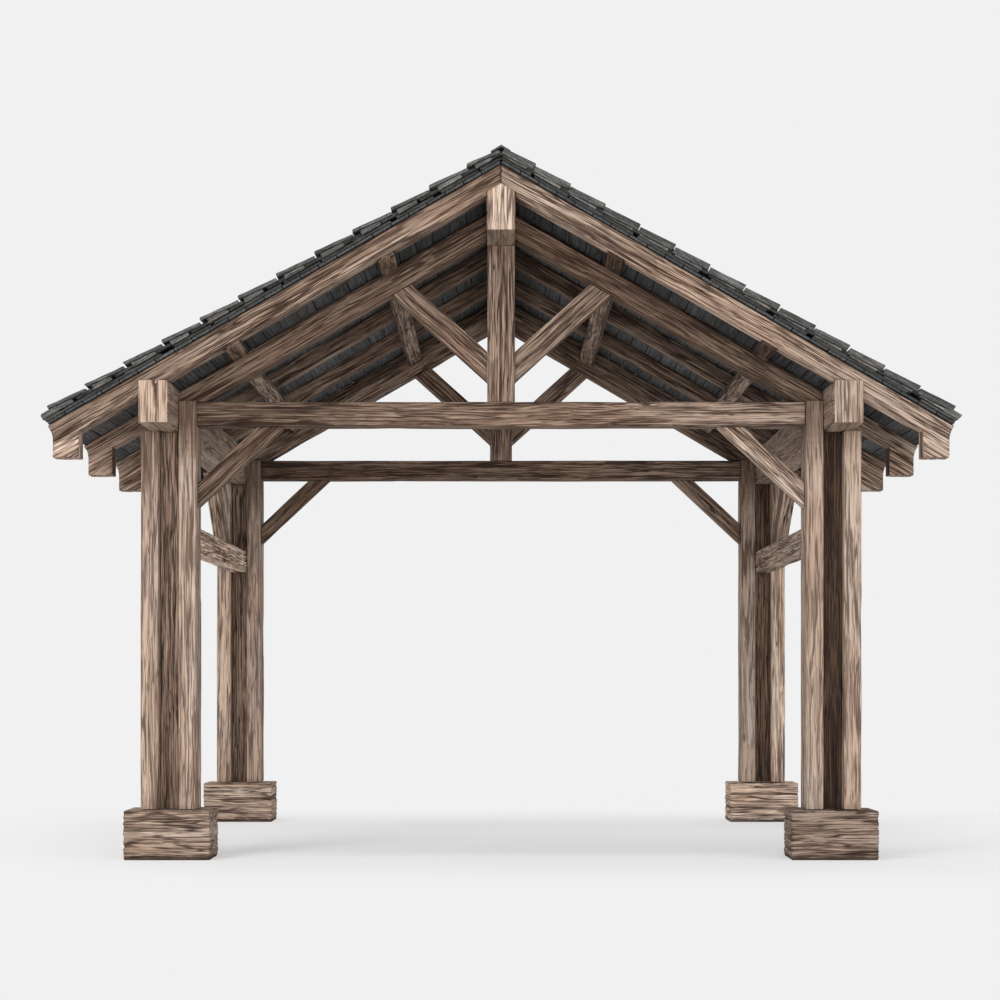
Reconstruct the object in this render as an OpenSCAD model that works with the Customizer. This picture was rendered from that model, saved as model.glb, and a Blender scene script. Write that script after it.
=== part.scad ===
// Open timber gazebo: two king-post trusses on clustered corner posts under a slated gable roof.
// Millimetres. X runs across the gable, Y from the front truss to the back one, Z is up,
// and the origin is on the ground under the middle of the roof.

/* [Overall plan] */
// Distance between the centre lines of the left and right post clusters
cluster_spacing = 4660; // [3800:10:5600]
// Distance between the centre lines of the front and back post clusters
bay_length = 3200; // [2600:10:4000]
// Distance from a cluster's centre line to the outer face of the verge rafter beyond it
verge_overhang = 465; // [380:5:700]
// Horizontal distance from a cluster's centre line to the face of the rafter tails
eaves_overhang = 718; // [600:2:900]

/* [Base blocks] */
// Width of a base block, across the gable
block_w = 616; // [480:2:760]
// Depth of a base block, front to back
block_d = 350; // [280:5:440]
// Height of a base block
block_h = 350; // [200:5:440]

/* [Posts] */
// Height from the ground to the top of the outer and middle posts
post_top = 3000; // [2600:10:3600]
// Width of an inner or outer post
post_w = 125; // [100:1:150]
// Depth of an inner or outer post, front to back
post_d = 220; // [180:2:270]
// Width of the recessed middle post
middle_post_w = 140; // [115:1:170]
// Depth of the recessed middle post
middle_post_d = 80; // [60:1:120]

/* [Eaves plates] */
// Width of an eaves plate
plate_w = 200; // [165:1:240]
// Height of an eaves plate
plate_h = 292; // [240:1:350]
// How far the ends of the plates and of the ridge beam stand out past the verge rafters
end_stand_out = 25; // [10:1:60]

/* [Side frames] */
// Height of the side rail's underside above the ground
rail_underside = 2212; // [1900:4:2300]
// Height of the side rail's section
rail_h = 184; // [150:1:222]
// Length of a side brace's lower edge along the plate
side_brace_run = 800; // [650:5:960]
// Height of a side brace's lower edge up the outer post
side_brace_rise = 750; // [620:5:900]
// Depth of a side brace's section, square to its length
side_brace_h = 150; // [120:1:180]
// Thickness of a side brace
side_brace_t = 110; // [85:1:125]

/* [Trusses] */
// Height of the tie beam's underside above the tops of the outer posts
tie_lift = 38; // [0:1:60]
// Height of the tie beam's section
tie_h = 172; // [140:1:208]
// Thickness of the tie beam, the king post and the principal rafters
truss_t = 150; // [120:1:180]
// Width of the king post
king_w = 196; // [160:1:235]
// Depth of a principal rafter's section, square to its length
principal_h = 147; // [120:1:178]
// Vertical gap between the top of a principal rafter and the underside of the rafters
principal_drop = 51; // [20:1:80]
// Height of the strut's lower edge above the tie beam, at the king post
strut_foot = 144; // [60:2:260]
// Slope of a strut above the horizontal
strut_angle = 42; // [32:1:50]
// Depth of a strut's section, square to its length
strut_h = 158; // [125:1:190]
// Thickness of a strut and of a knee brace
brace_t = 110; // [85:1:120]
// Length of a knee brace's lower edge along the tie beam
knee_run = 610; // [500:5:760]
// Height of a knee brace's lower edge up the post
knee_rise = 570; // [460:5:700]
// Depth of a knee brace's section, square to its length
knee_h = 128; // [100:1:160]

/* [Roof timbers] */
// Slope of the roof
pitch = 30; // [24:1:36]
// Height of the rafters' underside over the top of the plate's inner edge
rafter_lift = 30; // [5:1:60]
// Width of the ridge beam
ridge_w = 196; // [160:1:235]
// Height of the ridge beam from its underside to the ridge line of its bevelled back
ridge_h = 320; // [260:1:385]
// Width of a purlin along the slope
purlin_w = 120; // [95:1:145]
// Depth of a purlin, square to the slope
purlin_h = 100; // [80:1:125]
// Horizontal distance from the ridge line to the middle of the upper purlin
upper_purlin_x = 799; // [600:1:950]
// Horizontal distance from the plate's inner face to the middle of the lower purlin
lower_purlin_in = 414; // [250:2:600]
// How much of a principal rafter's thickness stays whole in front of the purlins let into it
purlin_cover = 40; // [0:5:70]
// How far the ends of the purlins stay behind the faces of the verge rafters
purlin_end_in = 40; // [0:5:100]
// Width of a rafter
rafter_w = 125; // [100:1:150]
// Depth of a rafter, square to the slope
rafter_h = 117; // [95:1:142]
// How much deeper the verge rafters are than the common ones
verge_rafter_more = 23; // [0:1:32]
// Number of rafters on each slope, the two verge rafters with them
rafter_count = 5; // [3:1:7]
// Width of the square block at a rafter's tail
tail_w = 183; // [140:1:220]
// Drop of the tail block below the rafter's underside, at its inner face
tail_drop = 206; // [160:1:250]
// How far the tip of a rafter reaches past the face of its tail block
tail_tip = 34; // [15:1:50]
// Height of the face of a tail block up to its cove
tail_face_h = 118; // [80:1:135]

/* [Roof covering] */
// Thickness of the roof boards
deck_t = 25; // [18:1:32]
// How far the roof boards reach past the tips of the rafters, along the slope
deck_lip = 4; // [0:1:30]
// Number of slate courses on the left slope
left_courses = 12; // [9:1:16]
// Number of slate courses on the right slope
right_courses = 13; // [9:1:16]
// Length of slate that shows in the top course, which the ridge cuts short
top_course_l = 227; // [180:1:300]
// Height of the step at the butt of a course
slate_step = 26; // [15:1:40]
// Thickness of the slates that each course lies on
slate_bed = 64; // [25:1:80]
// How far the slates reach past the faces of the verge rafters
slate_verge = 30; // [10:1:60]
// How far the starter slates reach past the edge of the roof boards, along the slope
slate_lip = 22; // [0:1:60]
// How far the starter slates reach past the butts of the lowest course
starter_lip = 72; // [40:1:90]
// Half of the width of the ridge capping
cap_half_w = 76; // [60:1:95]
// Height of the ridge capping over the slates, at the ridge line
cap_rise = 20; // [16:1:50]
// Thickness of the ridge capping at its edges
cap_edge_t = 9; // [6:1:14]

/* [Hidden] */
$fn = 96;
oak = [0.46, 0.37, 0.30];
shaded_oak = [0.34, 0.27, 0.22];
slate = [0.20, 0.21, 0.22];
rise = tan(pitch);

// Plan of a post cluster: distances from the middle of the gable
cluster_x = cluster_spacing / 2;
middle_in_x = cluster_x - middle_post_w / 2;
middle_out_x = cluster_x + middle_post_w / 2;
inner_post_x = middle_in_x - post_w;
cluster_y = bay_length / 2;
truss_out_y = cluster_y + truss_t / 2;
purlin_step_y = truss_out_y - purlin_cover;
verge_y = cluster_y + verge_overhang;
end_y = verge_y + end_stand_out;

// Heights
plate_top = post_top + plate_h;
tie_under = post_top + tie_lift;
tie_top = tie_under + tie_h;
rafter_under = plate_top + rafter_lift + middle_in_x * rise;
rafter_top = rafter_under + rafter_h / cos(pitch);
principal_top = rafter_under - principal_drop;
principal_under = principal_top - principal_h / cos(pitch);
ridge_under = rafter_under - ridge_h;

// Rafter tails and the slope's length
tail_face_x = cluster_x + eaves_overhang;
tail_tip_x = tail_face_x + tail_tip;
tail_in_x = tail_face_x - tail_w;
tail_under = rafter_under - tail_in_x * rise - tail_drop;
deck_l = tail_tip_x / cos(pitch) + deck_lip;
deck_top = rafter_top + deck_t / cos(pitch);
slate_top = deck_top + slate_bed / cos(pitch);
slate_y = verge_y + slate_verge;
slate_l = deck_l + slate_lip;
lower_courses_l = slate_l - starter_lip - top_course_l;
rafter_pitch = (2 * verge_y - rafter_w) / (rafter_count - 1);

// Turns an outline drawn in X and Z into a solid from y0 to y1
module between_y(y0, y1) {
    translate([0, y1, 0]) rotate([90, 0, 0]) linear_extrude(y1 - y0) children();
}

// Turns an outline drawn in Y and Z into a solid from x0 to x1
module between_x(x0, x1) {
    translate([x0, 0, 0]) rotate([90, 0, 90]) linear_extrude(x1 - x0) children();
}

// Everything is drawn on the right and at the back, and mirrored to the left and to the front
module on_side(side) {
    mirror([side == "left" ? 1 : 0, 0, 0]) children();
}

module at_end(end) {
    mirror([0, end == "front" ? 1 : 0, 0]) children();
}

module both_sides() {
    children();
    mirror([1, 0, 0]) children();
}

module both_ends() {
    children();
    mirror([0, 1, 0]) children();
}

// A point of the right slope: s along the slope from the ridge line, n square to it
function on_slope(s, n, ridge_z) = [
    s * cos(pitch) + n * sin(pitch),
    ridge_z - s * sin(pitch) + n * cos(pitch)
];

module base_block() {
    color(shaded_oak)
        translate([cluster_x - block_w / 2, cluster_y - block_d / 2, 0])
            cube([block_w, block_d, block_h]);
}

module post(x, width, depth, top) {
    color(oak)
        translate([x, cluster_y - depth / 2, block_h])
            cube([width, depth, top - block_h]);
}

module outer_post() post(middle_out_x, post_w, post_d, post_top);
module middle_post() post(middle_in_x, middle_post_w, middle_post_d, post_top);
module inner_post() post(inner_post_x, post_w, post_d, tie_top);

// The plate's outer top edge is bevelled to carry the rafters, and its ends stay square
module plate_outline() {
    plate_out_x = middle_in_x + plate_w;
    bevel_x = middle_in_x + rafter_lift / rise;
    polygon([
        [middle_in_x, post_top],
        [plate_out_x, post_top],
        [plate_out_x, rafter_under - plate_out_x * rise],
        [bevel_x, plate_top],
        [middle_in_x, plate_top]
    ]);
}

module eaves_plate() {
    color(oak) {
        between_y(-verge_y, verge_y) plate_outline();
        both_ends()
            translate([middle_in_x, verge_y, post_top])
                cube([plate_w, end_stand_out, plate_h]);
    }
}

module side_rail() {
    face_y = cluster_y - middle_post_d / 2;
    color(shaded_oak)
        translate([middle_in_x, -face_y, rail_underside])
            cube([middle_post_w, 2 * face_y, rail_h]);
}

// Outline of a brace in the corner between a post's face at x and a beam's underside at z
module brace_outline(x, z, run, drop, depth) {
    lean = atan(drop / run);
    polygon([
        [x, z - drop],
        [x, z - drop + depth / cos(lean)],
        [x - run + depth / sin(lean), z],
        [x - run, z]
    ]);
}

// A side brace rises from the outer post to the plate, past the outer side of the rail
module side_braces() {
    post_y = cluster_y - post_d / 2;
    color(shaded_oak)
        both_ends()
            between_x(middle_out_x, middle_out_x + side_brace_t)
                brace_outline(post_y, post_top, side_brace_run, side_brace_rise, side_brace_h);
}

// Solid of truss timber on the back truss's centre plane
module in_truss(thickness) {
    between_y(cluster_y - thickness / 2, cluster_y + thickness / 2) children();
}

module tie_beam() {
    color(oak) in_truss(truss_t)
        translate([-inner_post_x, tie_under]) square([2 * inner_post_x, tie_h]);
}

module king_post() {
    color(oak) in_truss(truss_t)
        translate([-king_w / 2, tie_top]) square([king_w, ridge_under - tie_top]);
}

// A principal sits level on the tie beam and the inner post, and stops at the plate
module principal_outline() {
    foot_x = (principal_under - tie_top) / rise;
    difference() {
        polygon([
            [0, principal_under],
            [foot_x, tie_top],
            [middle_in_x, tie_top],
            [middle_in_x, principal_top - middle_in_x * rise],
            [0, principal_top]
        ]);
        square([king_w, 2 * ridge_under], center = true);
        translate([0, ridge_under]) square([ridge_w / 2, ridge_h]);
    }
}

// Its inner side is trenched for the purlins
module principal_rafters() {
    color(oak) both_sides()
        difference() {
            in_truss(truss_t) principal_outline();
            between_y(cluster_y - truss_t, purlin_step_y) purlin_outlines(purlin_h);
        }
}

module king_struts() {
    foot_x = king_w / 2;
    low_z = tie_top + strut_foot;
    high_z = low_z + strut_h / cos(strut_angle);
    steep = tan(strut_angle);
    low_x = foot_x + (principal_under - foot_x * rise - low_z) / (steep + rise);
    high_x = foot_x + (principal_under - foot_x * rise - high_z) / (steep + rise);
    color(oak) both_sides() in_truss(brace_t)
        polygon([
            [foot_x, low_z],
            [low_x, principal_under - low_x * rise],
            [high_x, principal_under - high_x * rise],
            [foot_x, high_z]
        ]);
}

module knee_braces() {
    color(oak) both_sides() in_truss(brace_t)
        brace_outline(inner_post_x, tie_under, knee_run, knee_rise, knee_h);
}

// The ridge beam's back is bevelled to both slopes
module ridge_outline() {
    shoulder = rafter_under - ridge_w / 2 * rise;
    polygon([
        [-ridge_w / 2, ridge_under],
        [ridge_w / 2, ridge_under],
        [ridge_w / 2, shoulder],
        [0, rafter_under],
        [-ridge_w / 2, shoulder]
    ]);
}

module ridge_beam() {
    color(oak) between_y(-end_y, end_y) ridge_outline();
}

// One purlin's outline, hung under the rafters with its middle at x
module purlin_outline(x, depth) {
    s = x / cos(pitch);
    polygon([
        on_slope(s - purlin_w / 2, 0, rafter_under),
        on_slope(s + purlin_w / 2, 0, rafter_under),
        on_slope(s + purlin_w / 2, -depth, rafter_under),
        on_slope(s - purlin_w / 2, -depth, rafter_under)
    ]);
}

module purlin_outlines(depth) {
    purlin_outline(upper_purlin_x, depth);
    purlin_outline(middle_in_x - lower_purlin_in, depth);
}

// Towards the outer face of each truss the purlins are cut down level with the principal's top
module purlin_ends() {
    both_ends()
        between_y(purlin_step_y, verge_y - purlin_end_in)
            purlin_outlines(principal_drop * cos(pitch));
}

module purlins() {
    color(oak) {
        between_y(-purlin_step_y, purlin_step_y) purlin_outlines(purlin_h);
        purlin_ends();
    }
}

// A rafter's tail ends in a square block under a coved tip
module rafter_outline(under) {
    cove_z = tail_under + tail_face_h;
    tip_z = rafter_top - tail_tip_x * rise;
    cove_h = tip_z - cove_z;
    cove_r = (cove_h * cove_h + tail_tip * tail_tip) / (2 * tail_tip);
    difference() {
        polygon([
            [0, under],
            [tail_in_x, under - tail_in_x * rise],
            [tail_in_x, tail_under],
            [tail_tip_x, tail_under],
            [tail_tip_x, tip_z],
            [0, rafter_top]
        ]);
        translate([tail_face_x + cove_r, cove_z]) circle(cove_r);
        translate([tail_face_x, tail_under - 1]) square([tail_tip + 1, tail_face_h + 1]);
    }
}

// The verge rafters are deeper, and are cut to sit over the ridge beam, the plate and the purlins' ends
module verge_rafters() {
    color(oak) difference() {
        both_ends()
            between_y(verge_y - rafter_w, verge_y)
                difference() {
                    rafter_outline(rafter_under - verge_rafter_more / cos(pitch));
                    ridge_outline();
                    plate_outline();
                }
        purlin_ends();
    }
}

module common_rafters() {
    color(oak)
        for (i = [1 : rafter_count - 2])
            between_y(i * rafter_pitch - verge_y, i * rafter_pitch + rafter_w - verge_y)
                rafter_outline(rafter_under);
}

module roof_boards() {
    color(shaded_oak) between_y(-verge_y, verge_y)
        polygon([
            [0, rafter_top],
            on_slope(deck_l, 0, rafter_top),
            on_slope(deck_l, deck_t, rafter_top),
            [0, deck_top]
        ]);
}

// The slope of slates is one slab whose top steps down at the butt of each course,
// with the starter slates standing out under the lowest course
module slate_courses(course_count) {
    course_l = lower_courses_l / (course_count - 1);
    butts = [
        for (i = [0 : course_count - 1])
            each [
                on_slope(top_course_l + i * course_l, slate_bed + slate_step, deck_top),
                on_slope(top_course_l + i * course_l, slate_bed, deck_top)
            ]
    ];
    starter = [on_slope(slate_l, slate_bed, deck_top), on_slope(slate_l, 0, deck_top)];
    color(slate) between_y(-slate_y, slate_y)
        polygon(concat([[0, deck_top], [0, slate_top]], butts, starter));
}

// The capping folds over the ridge and lies on the top course of both slopes
module ridge_capping() {
    butt = on_slope(top_course_l, slate_bed + slate_step, deck_top);
    edge_z = slate_top + (butt[1] - slate_top) * cap_half_w / butt[0];
    color(slate) between_y(-slate_y, slate_y)
        polygon([
            [0, slate_top],
            [cap_half_w, edge_z],
            [cap_half_w, edge_z + cap_edge_t],
            [0, slate_top + cap_rise],
            [-cap_half_w, edge_z + cap_edge_t],
            [-cap_half_w, edge_z]
        ]);
}

on_side("left") at_end("front") base_block();  // base_block_front_left
at_end("front") base_block();  // base_block_front_right
on_side("left") base_block();  // base_block_back_left
base_block();  // base_block_back_right
on_side("left") at_end("front") outer_post();  // outer_post_front_left
at_end("front") outer_post();  // outer_post_front_right
on_side("left") outer_post();  // outer_post_back_left
outer_post();  // outer_post_back_right
on_side("left") at_end("front") middle_post();  // middle_post_front_left
at_end("front") middle_post();  // middle_post_front_right
on_side("left") middle_post();  // middle_post_back_left
middle_post();  // middle_post_back_right
on_side("left") at_end("front") inner_post();  // inner_post_front_left
at_end("front") inner_post();  // inner_post_front_right
on_side("left") inner_post();  // inner_post_back_left
inner_post();  // inner_post_back_right
on_side("left") eaves_plate();  // eaves_plate_left
eaves_plate();  // eaves_plate_right
on_side("left") side_rail();  // side_rail_left
side_rail();  // side_rail_right
on_side("left") side_braces();  // side_braces_left
side_braces();  // side_braces_right
at_end("front") tie_beam();  // tie_beam_front
tie_beam();  // tie_beam_back
at_end("front") king_post();  // king_post_front
king_post();  // king_post_back
at_end("front") king_struts();  // king_struts_front
king_struts();  // king_struts_back
at_end("front") principal_rafters();  // principal_rafters_front
principal_rafters();  // principal_rafters_back
at_end("front") knee_braces();  // knee_braces_front
knee_braces();  // knee_braces_back
ridge_beam();
on_side("left") purlins();  // purlins_left
purlins();  // purlins_right
on_side("left") verge_rafters();  // verge_rafters_left
verge_rafters();  // verge_rafters_right
on_side("left") common_rafters();  // common_rafters_left
common_rafters();  // common_rafters_right
on_side("left") roof_boards();  // roof_boards_left
roof_boards();  // roof_boards_right
on_side("left") slate_courses(left_courses);  // slates_left
slate_courses(right_courses);  // slates_right
ridge_capping();
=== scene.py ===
"""Looks of an open oak gazebo with a slated roof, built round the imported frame.

Every timber keeps the size of its CAD solid: a copy of the solid gets worn edges, is cut into a
fine net, and its faces are cut back along the grain. Roof boards, slates and cap slates are laid
one by one inside the slabs that stand for them in the frame. All lengths are metres.
"""
import math
import random

import bmesh
import bpy
from mathutils import Matrix, Vector, noise


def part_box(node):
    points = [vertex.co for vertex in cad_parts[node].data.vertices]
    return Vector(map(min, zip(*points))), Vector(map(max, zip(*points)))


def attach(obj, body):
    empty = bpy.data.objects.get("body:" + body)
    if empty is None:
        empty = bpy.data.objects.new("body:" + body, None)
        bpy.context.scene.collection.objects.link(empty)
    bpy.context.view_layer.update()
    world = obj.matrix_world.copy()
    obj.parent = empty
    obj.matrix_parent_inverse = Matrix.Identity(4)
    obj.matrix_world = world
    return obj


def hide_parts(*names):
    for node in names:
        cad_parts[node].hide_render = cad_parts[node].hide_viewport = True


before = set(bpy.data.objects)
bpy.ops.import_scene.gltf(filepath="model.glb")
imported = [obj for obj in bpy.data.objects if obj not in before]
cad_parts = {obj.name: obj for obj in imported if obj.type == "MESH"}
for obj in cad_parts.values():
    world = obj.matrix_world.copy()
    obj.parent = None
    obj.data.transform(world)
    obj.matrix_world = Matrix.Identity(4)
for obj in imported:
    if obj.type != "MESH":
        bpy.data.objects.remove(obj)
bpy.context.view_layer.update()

MERGE = 1e-5
X, Y, Z = Vector((1, 0, 0)), Vector((0, 1, 0)), Vector((0, 0, 1))


def side_of(place):
    """The side of the gazebo that a place lies on."""
    return "right" if place.x > 0 else "left"


# ---------------------------------------------------------------- camera, floor, light

# The camera stands before the middle of the gable. Its shifts are shares of the picture's width.
CAMERA_Y = -13.61
EYE_HEIGHT = 1.256
LENS = 61.2
SENSOR = 36.0
HORIZON_BELOW_MIDDLE = 0.18
SIDE_SHIFT = -0.001
SIGHT = 500.0
# Brightness of the backdrop, and of the light that the sky gives
PALE = 0.88
SKY_LIGHT = 0.95
# The floor, and how much of the backdrop's brightness it shows round the gazebo and in its shadow
FLOOR_HALF = 60.0
FLOOR_GLOW = 0.5
SHADOW_GLOW = 0.12


def make_camera():
    """The scene's camera, looking straight at the gable from eye height."""
    camera = bpy.data.objects.new("camera", bpy.data.cameras.new("camera"))
    camera.data.lens = LENS
    camera.data.sensor_width = SENSOR
    camera.data.shift_x = SIDE_SHIFT
    camera.data.shift_y = HORIZON_BELOW_MIDDLE
    camera.data.clip_end = SIGHT
    camera.location = (0, CAMERA_Y, EYE_HEIGHT)
    camera.rotation_euler = (math.pi / 2, 0, 0)
    bpy.context.scene.collection.objects.link(camera)
    bpy.context.scene.camera = camera


def soft_lamp(name, place, target, size, power):
    """A round area lamp that points at target."""
    lamp = bpy.data.objects.new(name, bpy.data.lights.new(name, "AREA"))
    lamp.data.shape = "DISK"
    lamp.data.size = size
    lamp.data.energy = power
    lamp.location = place
    lamp.rotation_euler = (Vector(target) - Vector(place)).to_track_quat("-Z", "Y").to_euler()
    bpy.context.scene.collection.objects.link(lamp)


# ---------------------------------------------------------------- node helpers


def put(tree, kind, inputs=(), **settings):
    """Adds a shader node, sets its options, and sets or links its inputs."""
    node = tree.nodes.new("ShaderNode" + kind)
    for name, value in settings.items():
        setattr(node, name, value)
    for socket, value in dict(inputs).items():
        if isinstance(value, bpy.types.NodeSocket):
            tree.links.new(value, node.inputs[socket])
        else:
            node.inputs[socket].default_value = value
    return node


def calc(tree, operation, a, b=0.0, c=0.0):
    """The result of a Math node that works on up to three values."""
    return put(tree, "Math", {0: a, 1: b, 2: c}, operation=operation).outputs[0]


def ramp(tree, factor, stops):
    """The colour at factor between stops, each a place and a colour."""
    node = put(tree, "ValToRGB", {0: factor})
    elements = node.color_ramp.elements
    while len(elements) < len(stops):
        elements.new(0.5)
    for element, (place, colour) in zip(elements, stops):
        element.position = place
        element.color = (*colour, 1)
    return node.outputs[0]


def blend_colour(tree, factor, a, b, how="MIX"):
    """Two colours mixed by factor."""
    node = tree.nodes.new("ShaderNodeMix")
    node.data_type = "RGBA"
    node.blend_type = how
    for socket, value in ((0, factor), (6, a), (7, b)):
        if isinstance(value, bpy.types.NodeSocket):
            tree.links.new(value, node.inputs[socket])
        elif isinstance(value, tuple):
            node.inputs[socket].default_value = (*value, 1)
        else:
            node.inputs[socket].default_value = value
    return node.outputs[2]


def noise_at(tree, vector, scale, detail=2.0, roughness=0.5):
    """The outputs of a noise over a vector multiplied by scale."""
    placed = put(tree, "Mapping", {"Vector": vector, "Scale": scale}).outputs[0]
    inputs = {"Vector": placed, "Scale": 1.0, "Detail": detail, "Roughness": roughness}
    return put(tree, "TexNoise", inputs).outputs


def spread(tree, value, low, high):
    """A value stretched so that low becomes 0 and high becomes 1, and held between them."""
    return put(tree, "MapRange", {0: value, 1: low, 2: high}).outputs[0]


def new_material(name):
    """An empty material, its nodes and its Principled shader."""
    material = bpy.data.materials.new(name)
    material.use_nodes = True
    return material, material.node_tree, material.node_tree.nodes["Principled BSDF"]


# ---------------------------------------------------------------- shared grain group

# How far the grain wanders sideways, in two sizes of bend
SWAY = 0.05
CURL = 0.012
# Streaks: noise scales along, across and through the timber, and each one's share
BROAD_SCALE, BROAD_SHARE = (0.9, 15, 15), 0.12
FINE_SCALE, FINE_SHARE = (1.4, 100, 100), 0.54
FIBRE_SCALE, FIBRE_SHARE = (5, 200, 200), 0.34
# Cracks: scales of their lines, scales of the lengths they are broken into, and width shares
WIDE_CRACKS = (0.5, 14, 14), (1.6, 10, 10), 0.85
THIN_CRACKS = (0.8, 40, 40), (2.0, 14, 14), 1.4
HAIR_CRACKS = (1.8, 100, 100), (3.5, 30, 30), 1.8
THIN_DARKNESS = 0.95
HAIR_DARKNESS = 0.75
CRACK_DEPTH = 0.3
PATCH_SCALE = (0.7, 5, 5)


def bent(tree, vector, scale, detail, reach):
    """Grain that wanders across and through the timber, by half of reach each way at most."""
    bend = noise_at(tree, vector, scale, detail)["Color"]
    bend = put(tree, "VectorMath", {0: bend, 1: (0.5, 0.5, 0.5)}, operation="SUBTRACT").outputs[0]
    bend = put(tree, "VectorMath", {0: bend, 1: (0.0, reach, reach)}, operation="MULTIPLY").outputs[0]
    return put(tree, "VectorMath", {0: vector, 1: bend}, operation="ADD").outputs[0]


def cracks_along(tree, wavy, crack_width, scale, broken, width_share):
    """Thin lines along the grain, broken into lengths."""
    line = calc(tree, "ABSOLUTE", calc(tree, "SUBTRACT", noise_at(tree, wavy, scale)["Fac"], 0.5))
    width = calc(tree, "MULTIPLY", crack_width, width_share)
    line = spread(tree, line, width, calc(tree, "MULTIPLY", width, 0.35))
    held = spread(tree, noise_at(tree, wavy, broken)["Fac"], 0.44, 0.50)
    return calc(tree, "MULTIPLY", line, held)


def make_grain_group():
    """Lengthwise grain of split or weathered stuff: streaks, cracks, height and patches.

    Grain runs along X of the vector it is given."""
    tree = bpy.data.node_groups.new("lengthwise_grain", "ShaderNodeTree")
    for name, kind, value in (
        ("Vector", "NodeSocketVector", (0, 0, 0)),
        ("Coarseness", "NodeSocketFloat", 1.0),
        ("Crack Width", "NodeSocketFloat", 0.03),
    ):
        tree.interface.new_socket(name, in_out="INPUT", socket_type=kind).default_value = value
    for name in ("Streaks", "Cracks", "Height", "Patches"):
        tree.interface.new_socket(name, in_out="OUTPUT", socket_type="NodeSocketFloat")
    given = tree.nodes.new("NodeGroupInput").outputs
    out = tree.nodes.new("NodeGroupOutput").inputs

    scaled = put(tree, "VectorMath", {0: given["Vector"], "Scale": given["Coarseness"]}, operation="SCALE")
    wavy = bent(tree, scaled.outputs[0], (0.8, 2.2, 2.2), 2.0, SWAY)
    wavy = bent(tree, wavy, (4, 8, 8), 1.0, CURL)

    broad = calc(tree, "MULTIPLY", noise_at(tree, wavy, BROAD_SCALE, 2.0, 0.55)["Fac"], BROAD_SHARE)
    fine = calc(tree, "MULTIPLY", noise_at(tree, wavy, FINE_SCALE, 3.0, 0.6)["Fac"], FINE_SHARE)
    fibre = calc(tree, "MULTIPLY", noise_at(tree, wavy, FIBRE_SCALE, 2.0, 0.6)["Fac"], FIBRE_SHARE)
    streaks = calc(tree, "ADD", calc(tree, "ADD", broad, fine), fibre)
    tree.links.new(spread(tree, streaks, 0.42, 0.58), out["Streaks"])

    wide, thin, hair = (cracks_along(tree, wavy, given["Crack Width"], *cracks)
                        for cracks in (WIDE_CRACKS, THIN_CRACKS, HAIR_CRACKS))
    cracks = calc(tree, "MAXIMUM", wide, calc(tree, "MULTIPLY", thin, THIN_DARKNESS))
    cracks = calc(tree, "MAXIMUM", cracks, calc(tree, "MULTIPLY", hair, HAIR_DARKNESS))
    tree.links.new(cracks, out["Cracks"])
    height = calc(tree, "SUBTRACT", streaks, calc(tree, "MULTIPLY", cracks, CRACK_DEPTH))
    tree.links.new(height, out["Height"])
    patches = noise_at(tree, wavy, PATCH_SCALE)["Fac"]
    tree.links.new(spread(tree, patches, 0.38, 0.62), out["Patches"])
    return tree


GRAIN = make_grain_group()


def grain_in(tree, coarseness, crack_width):
    """The grain group placed in a material, reading the piece's grain attribute."""
    vector = put(tree, "Attribute", attribute_name="grain").outputs["Vector"]
    node = tree.nodes.new("ShaderNodeGroup")
    node.node_tree = GRAIN
    tree.links.new(vector, node.inputs["Vector"])
    node.inputs["Coarseness"].default_value = coarseness
    node.inputs["Crack Width"].default_value = crack_width
    return node.outputs


# A tone below 1 takes this many times as much out of blue as out of green
BLUE_LOSS = 1.8


def toned(tree, colour, redden):
    """A colour times the piece's tone, which also reddens it, as far as redden says, where it is below 1.
    The tone carries painted light and shade as well as differences from piece to piece, so the reddening
    mostly falls in painted shade.
    """
    tone = put(tree, "Attribute", attribute_name="tone").outputs["Fac"]
    shaded = calc(tree, "MINIMUM", tone, 1.0)
    green = calc(tree, "MULTIPLY", tone, calc(tree, "POWER", shaded, redden))
    blue = calc(tree, "MULTIPLY", tone, calc(tree, "POWER", shaded, BLUE_LOSS * redden))
    tint = put(tree, "CombineColor", {0: tone, 1: green, 2: blue}).outputs[0]
    return blend_colour(tree, 1.0, colour, tint, "MULTIPLY")


# How fully ruddy patches, hollows and cracks take their colour
PATCH_SHARE = 0.55
HOLLOW_SHARE = 0.85
CRACK_SHARE = 0.9


def weathered_oak(name, dark, middle, light, ruddy, crack, coarseness=1.0, crack_width=0.03, depth=0.006,
                  redden=0.10):
    """Weathered oak: streaked from dark to light, ruddy in patches, dark in its hollows and cracks.

    coarseness makes the grain finer, depth is the height of its bump, and redden says how much redder
    a piece is where its tone is low, which is mostly where its shade is painted."""
    material, tree, surface = new_material(name)
    grain = grain_in(tree, coarseness, crack_width)
    colour = ramp(tree, grain["Streaks"], ((0.0, dark), (0.42, middle), (1.0, light)))
    patch = calc(tree, "MULTIPLY", grain["Patches"], PATCH_SHARE)
    colour = blend_colour(tree, patch, colour, blend_colour(tree, 1.0, colour, ruddy, "MULTIPLY"))
    colour = toned(tree, colour, redden)
    # The hollow attribute darkens the wood where its relief lies deep: the cracks' own dark, together with
    # painted shade in the hollows on top of the shade that the relief itself casts.
    hollow = spread(tree, put(tree, "Attribute", attribute_name="hollow").outputs["Fac"], 0.3, 0.95)
    colour = blend_colour(tree, calc(tree, "MULTIPLY", hollow, HOLLOW_SHARE), colour, crack)
    colour = blend_colour(tree, calc(tree, "MULTIPLY", grain["Cracks"], CRACK_SHARE), colour, crack)
    tree.links.new(colour, surface.inputs["Base Color"])
    tree.links.new(calc(tree, "MULTIPLY_ADD", grain["Streaks"], -0.12, 0.95), surface.inputs["Roughness"])
    bump = put(tree, "Bump", {"Height": grain["Height"], "Strength": 1.0, "Distance": depth})
    tree.links.new(bump.outputs[0], surface.inputs["Normal"])
    surface.inputs["Specular IOR Level"].default_value = 0.2
    return material


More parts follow.
